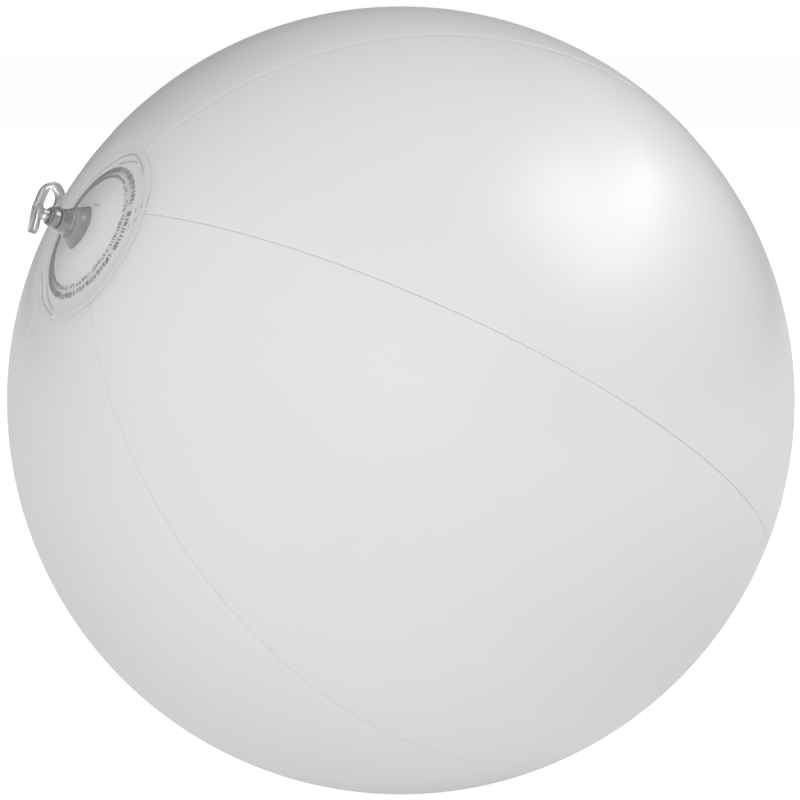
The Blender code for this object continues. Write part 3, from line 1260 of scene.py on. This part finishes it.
@dataclass
class Stopper:
    """The plug with its head, the pull tab across the head, and the strap back to the stem's ring."""

    bearings: Bearings
    sides: int = 72
    plug: float = 1.4 * MM
    plug_bottom: float = 5.0 * MM
    head: float = 2.2 * MM
    head_heights: tuple[float, float] = (13.2 * MM, 16.2 * MM)
    strap_width: float = 4.8 * MM
    strap_thickness: float = 1.95 * MM
    strap_height: float = 17.35 * MM
    tab_start: float = -2.4 * MM
    tab_end: float = 7.7 * MM
    tab_rim: float = 0.85 * MM
    tab_dish: float = 0.3 * MM
    # The strap's way from the tab to the ring, in mm in the stem's frame: aside and up.
    route: tuple[tuple[float, float], ...] = (
        (-2.42, 17.35),
        (-6.5, 16.6),
        (-9.4, 15.5),
        (-10.8, 13.4),
        (-10.2, 11.6),
        (-8.2, 10.0),
        (-6.0, 9.7),
        (-3.4, 10.25),
    )
    finish: VinylFinish = CLEAR_VINYL

    def build(self) -> None:
        """Models the three pieces."""
        for piece, node in ((self.plug_and_head(), "stopper_plug"), (self.tab(), "pull_tab")):
            fit(Bench.place(piece, self.bearings.stem), self.finish, "stopper", node)
        strap = Bench.place(self.strap(), self.bearings.stem)
        Bench.smooth(strap)
        self.finish.dress(strap)
        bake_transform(strap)
        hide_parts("strap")

    def plug_and_head(self) -> Piece:
        """Turns the plug with two sealing ribs and the rounded head over it.

        Returns:
            The plug in the stem's frame.
        """
        low, high = self.head_heights
        rib, rib_half = 0.12 * MM, 0.4 * MM
        outline = [
            (0.0, high),
            (self.head - 0.4 * MM, high),
            (self.head, high - 0.4 * MM),
            (self.head - 0.15 * MM, (low + high) / 2),
            (self.head, low + 0.3 * MM),
            (self.head - 0.2 * MM, low),
            (self.plug, low),
        ]
        for height in (low - 2.0 * MM, low - 4.5 * MM):
            outline += [
                (self.plug, height + rib_half),
                (self.plug + rib, height),
                (self.plug, height - rib_half),
            ]
        outline += [(self.plug, self.plug_bottom + 0.5 * MM), (self.plug - 0.4 * MM, self.plug_bottom)]
        outline += [(0.0, self.plug_bottom)]
        piece = Bench.turn("stopper_plug_body", outline, self.sides, ring=False)
        Bench.round_edges(piece, 0.12 * MM, segments=2, angle=25)
        return piece

    def tab(self) -> Piece:
        """Draws out one side of a disc to the plug, and dishes both faces round the finger grip.

        Returns:
            The tab in the stem's frame.
        """
        half = self.strap_width / 2
        bpy.ops.object.select_all(action="DESELECT")
        centre = (self.tab_end - half, 0, self.strap_height)
        bpy.ops.mesh.primitive_cylinder_add(
            vertices=48, radius=half, depth=self.strap_thickness, location=centre
        )
        tab = Bench.adopt("tab_grip")
        Bench.edit(tab)
        Bench.pick(tab, Grip.VERTS, lambda spot: spot.x < centre[0] + MERGE)
        bpy.ops.transform.resize(value=(0, 1, 1), center_override=centre)
        bpy.ops.transform.translate(value=(self.tab_start - centre[0], 0, 0))
        Bench.tidy_normals()
        for side in (1, -1):
            Bench.pick(tab, Grip.FACES, lambda spot: side * (spot.z - self.strap_height) > MERGE)
            bpy.ops.mesh.inset(thickness=self.tab_rim)
            bpy.ops.transform.translate(value=(0, 0, -side * self.tab_dish))
        Bench.done()
        Bench.round_edges(tab, 0.3 * MM, segments=3)
        return tab

    def strap(self) -> Piece:
        """Sweeps a flat section along the loop from the tab back to the ring.

        Returns:
            The strap in the stem's frame.
        """
        spots = self.smooth_route()
        headings = [after - before for before, after in zip(spots, spots[1:])]
        headings = [headings[0]] + [a + b for a, b in zip(headings, headings[1:])] + [headings[-1]]
        angles = [math.atan2(-heading.z, -heading.x) for heading in headings]
        bpy.ops.object.select_all(action="DESELECT")
        bpy.ops.mesh.primitive_plane_add(size=1, location=spots[0], rotation=(0, -math.pi / 2, 0))
        strap = bpy.context.view_layer.objects.active
        strap.scale = (self.strap_thickness, self.strap_width, 1)
        strap = Bench.adopt("strap_loop")
        Bench.edit(strap, Grip.FACES)
        for index in range(1, len(spots)):
            bpy.ops.mesh.extrude_region_move()
            swing = angles[index] - angles[index - 1]
            swing = (swing + math.pi) % FULL_TURN - math.pi
            # In background, transform.rotate turns the other way.
            bpy.ops.transform.rotate(value=swing, orient_axis="Y", center_override=spots[index - 1])
            bpy.ops.transform.translate(value=spots[index] - spots[index - 1])
        Bench.tidy_normals()
        Bench.done()
        Bench.round_edges(strap, 0.42 * MM, segments=4, angle=50)
        return strap

    def smooth_route(self) -> list[Vector]:
        """The strap's centre line, as a smooth curve through the route's points.

        Returns:
            The line's points in the stem's frame.
        """
        points = [Vector((x * MM, 0, z * MM)) for x, z in self.route]
        slopes = [points[1] - points[0]]
        slopes += [(after - before) / 2 for before, after in zip(points, points[2:])]
        slopes += [points[-1] - points[-2]]
        line = [points[0]]
        for index in range(len(points) - 1):
            start, end = points[index], points[index + 1]
            leave, arrive = start + slopes[index] / 3, end - slopes[index + 1] / 3
            line += geometry.interpolate_bezier(start, leave, arrive, end, 5)[1:]
        return line


@dataclass(frozen=True)
class Softbox:
    """A soft rectangular light that faces the ball: where it hangs, its sides, its power and its glint."""

    name: str
    direction: tuple[float, float, float]
    distance: float
    sides: tuple[float, float]
    watts: float
    glints: bool = True

    def hang(self, centre: Vector) -> None:
        """Adds the light round a centre.

        Args:
            centre: the point it faces.
        """
        data = bpy.data.lights.new(self.name, "AREA")
        data.shape = "RECTANGLE"
        data.size, data.size_y = self.sides
        data.energy = self.watts
        lamp = bpy.data.objects.new(self.name, data)
        bpy.context.scene.collection.objects.link(lamp)
        away = Vector(self.direction).normalized()
        lamp.location = centre + away * self.distance
        lamp.rotation_euler = away.to_track_quat("Z", "Y").to_euler()
        lamp.visible_glossy = self.glints


@dataclass(frozen=True)
class Glow:
    """A broad patch of light on the studio's walls: its direction and its brightness."""

    direction: tuple[float, float, float]
    strength: float


@dataclass
class Studio:
    """The pale floor, the soft lights and the camera."""

    size: BallSize
    camera_distance: float = 1.4
    camera_elevation: float = math.radians(10.0)
    lens: float = 176.41
    framing: tuple[float, float] = (-0.0011, 0.0005)
    floor_size: float = 6.0
    floor_tone: float = 0.5
    floor_glow: float = 0.395
    floor_white: float = 0.42
    glow_focus: float = 4.0
    glows: tuple[Glow, ...] = (
        Glow((-0.70, -0.70, 0.15), 0.81),
        Glow((-0.70, 0.00, 0.70), 0.86),
        Glow((-1.00, 0.00, 0.00), 0.24),
        Glow((0.00, 1.00, 0.10), 0.12),
    )
    lamps: tuple[Softbox, ...] = (
        Softbox("key_softbox", (0.695, -0.138, 0.706), 1.1, (0.72, 0.72), 1.84),
        Softbox("key_middle", (0.704, -0.087, 0.705), 1.1, (0.55, 0.55), 1.55),
        Softbox("key_inner", (0.667, -0.257, 0.699), 1.1, (0.55, 0.55), 1.30),
        Softbox("key_outer", (0.732, 0.285, 0.619), 1.1, (0.80, 0.60), 1.2),
        Softbox("key_strip", (0.745, 0.265, 0.612), 1.1, (0.40, 0.14), 1.0),
        Softbox("key_far", (0.630, 0.620, 0.467), 1.1, (0.80, 0.60), 0.53),
        Softbox("front_softbox", (0.0, -0.985, 0.174), 3.0, (1.5, 1.5), 12.4, glints=False),
        Softbox("front_upper_softbox", (0.05, -0.95, 0.45), 2.2, (2.4, 2.0), 20.4, glints=False),
        Softbox("rear_softbox", (0.0, 1.0, 0.05), 2.2, (2.0, 1.2), 22.0, glints=False),
    )

    def build(self) -> None:
        """Sets everything up round the ball."""
        self.camera()
        self.floor()
        self.world()
        for lamp in self.lamps:
            lamp.hang(self.size.centre)
        bpy.context.scene.view_settings.view_transform = "Standard"

    def camera(self) -> None:
        """Puts the camera in front of the ball, a little above its middle, and aims it at the middle."""
        data = bpy.data.cameras.new("camera")
        data.lens = self.lens
        data.shift_x, data.shift_y = self.framing
        data.dof.use_dof = False
        camera = bpy.data.objects.new("camera", data)
        bpy.context.scene.collection.objects.link(camera)
        away = Vector((0, -math.cos(self.camera_elevation), math.sin(self.camera_elevation)))
        camera.location = self.size.centre + away * self.camera_distance
        camera.rotation_euler = (math.pi / 2 - self.camera_elevation, 0, 0)
        bpy.context.scene.camera = camera

    def floor(self) -> None:
        """Lays a plain floor that glows softly, and that looks paler than the light it throws back."""
        bpy.ops.object.select_all(action="DESELECT")
        bpy.ops.mesh.primitive_plane_add(size=self.floor_size, location=(0, 0, -0.1 * MM))
        floor = Bench.adopt("studio_floor")
        material = bpy.data.materials.new("pale_floor")
        material.use_nodes = True
        nodes, links = material.node_tree.nodes, material.node_tree.links
        shader = nodes["Principled BSDF"]
        shader.inputs["Base Color"].default_value = (*(self.floor_tone,) * 3, 1)
        shader.inputs["Roughness"].default_value = 1.0
        shader.inputs["Specular IOR Level"].default_value = 0.0
        shader.inputs["Emission Color"].default_value = (1, 1, 1, 1)
        shader.inputs["Emission Strength"].default_value = self.floor_glow
        seen = nodes.new("ShaderNodeLightPath")
        paler = nodes.new("ShaderNodeMath")
        paler.operation = "MULTIPLY"
        paler.inputs[1].default_value = self.floor_white
        white = nodes.new("ShaderNodeEmission")
        both = nodes.new("ShaderNodeAddShader")
        links.new(seen.outputs["Is Camera Ray"], paler.inputs[0])
        links.new(paler.outputs["Value"], white.inputs["Strength"])
        links.new(shader.outputs["BSDF"], both.inputs[0])
        links.new(white.outputs["Emission"], both.inputs[1])
        links.new(both.outputs["Shader"], nodes["Material Output"].inputs["Surface"])
        floor.data.materials.append(material)

    def world(self) -> None:
        """Surrounds the ball with broad glows, behind which the backdrop looks white."""
        world = bpy.data.worlds.new("studio")
        world.use_nodes = True
        bpy.context.scene.world = world
        nodes, links = world.node_tree.nodes, world.node_tree.links
        surround = nodes["Background"]
        surround.inputs["Color"].default_value = (1, 1, 1, 1)
        direction = nodes.new("ShaderNodeTexCoord").outputs["Generated"]
        total = None
        for glow in self.glows:
            facing = nodes.new("ShaderNodeVectorMath")
            facing.operation = "DOT_PRODUCT"
            facing.inputs[1].default_value = Vector(glow.direction).normalized()
            links.new(direction, facing.inputs[0])
            lit = self.math(nodes, links, "MAXIMUM", facing.outputs["Value"], 0.0)
            lit = self.math(nodes, links, "POWER", lit, self.glow_focus)
            lit = self.math(nodes, links, "MULTIPLY", lit, glow.strength)
            total = lit if total is None else self.math(nodes, links, "ADD", total, lit)
        links.new(total, surround.inputs["Strength"])

        backdrop = nodes.new("ShaderNodeBackground")
        backdrop.inputs["Color"].default_value = (1, 1, 1, 1)
        seen = nodes.new("ShaderNodeLightPath")
        mix = nodes.new("ShaderNodeMixShader")
        through = self.math(
            nodes, links, "MAXIMUM", seen.outputs["Is Camera Ray"], seen.outputs["Is Transmission Ray"]
        )
        links.new(through, mix.inputs["Fac"])
        links.new(surround.outputs["Background"], mix.inputs[1])
        links.new(backdrop.outputs["Background"], mix.inputs[2])
        links.new(mix.outputs["Shader"], nodes["World Output"].inputs["Surface"])

    @staticmethod
    def math(
        nodes: bpy.types.Nodes,
        links: bpy.types.NodeLinks,
        operation: str,
        first: bpy.types.NodeSocket,
        second: float | bpy.types.NodeSocket,
    ) -> bpy.types.NodeSocket:
        """Adds a sum node.

        Args:
            nodes: the tree's nodes.
            links: the tree's links.
            operation: which sum it does.
            first: the socket it starts from.
            second: a number or another socket.

        Returns:
            The socket with the result.
        """
        node = nodes.new("ShaderNodeMath")
        node.operation = operation
        links.new(first, node.inputs[0])
        if isinstance(second, bpy.types.NodeSocket):
            links.new(second, node.inputs[1])
        else:
            node.inputs[1].default_value = second
        return node.outputs["Value"]


def main() -> None:
    """Builds every sub-assembly in order."""
    logging.basicConfig(level=logging.INFO, format="%(name)s: %(message)s")
    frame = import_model()
    size = BallSize()
    bearings = Bearings.read(frame, size)
    cling = Cling(bearings, size)

    Envelope(size, bearings).build(cling)
    log.info("envelope: %d gores", size.gores)
    EndPatches(size, bearings).build(cling)
    log.info("end patches and weld ring")
    cling.put_away()
    Boot(size, bearings).build()
    log.info("boot and flange")
    Stem(bearings).build()
    CheckFlap(bearings).build()
    log.info("stem, ring and flap")
    Stopper(bearings).build()
    log.info("stopper, tab and strap")
    Studio(size).build()
    log.info("studio")


if __name__ == "__main__":
    main()
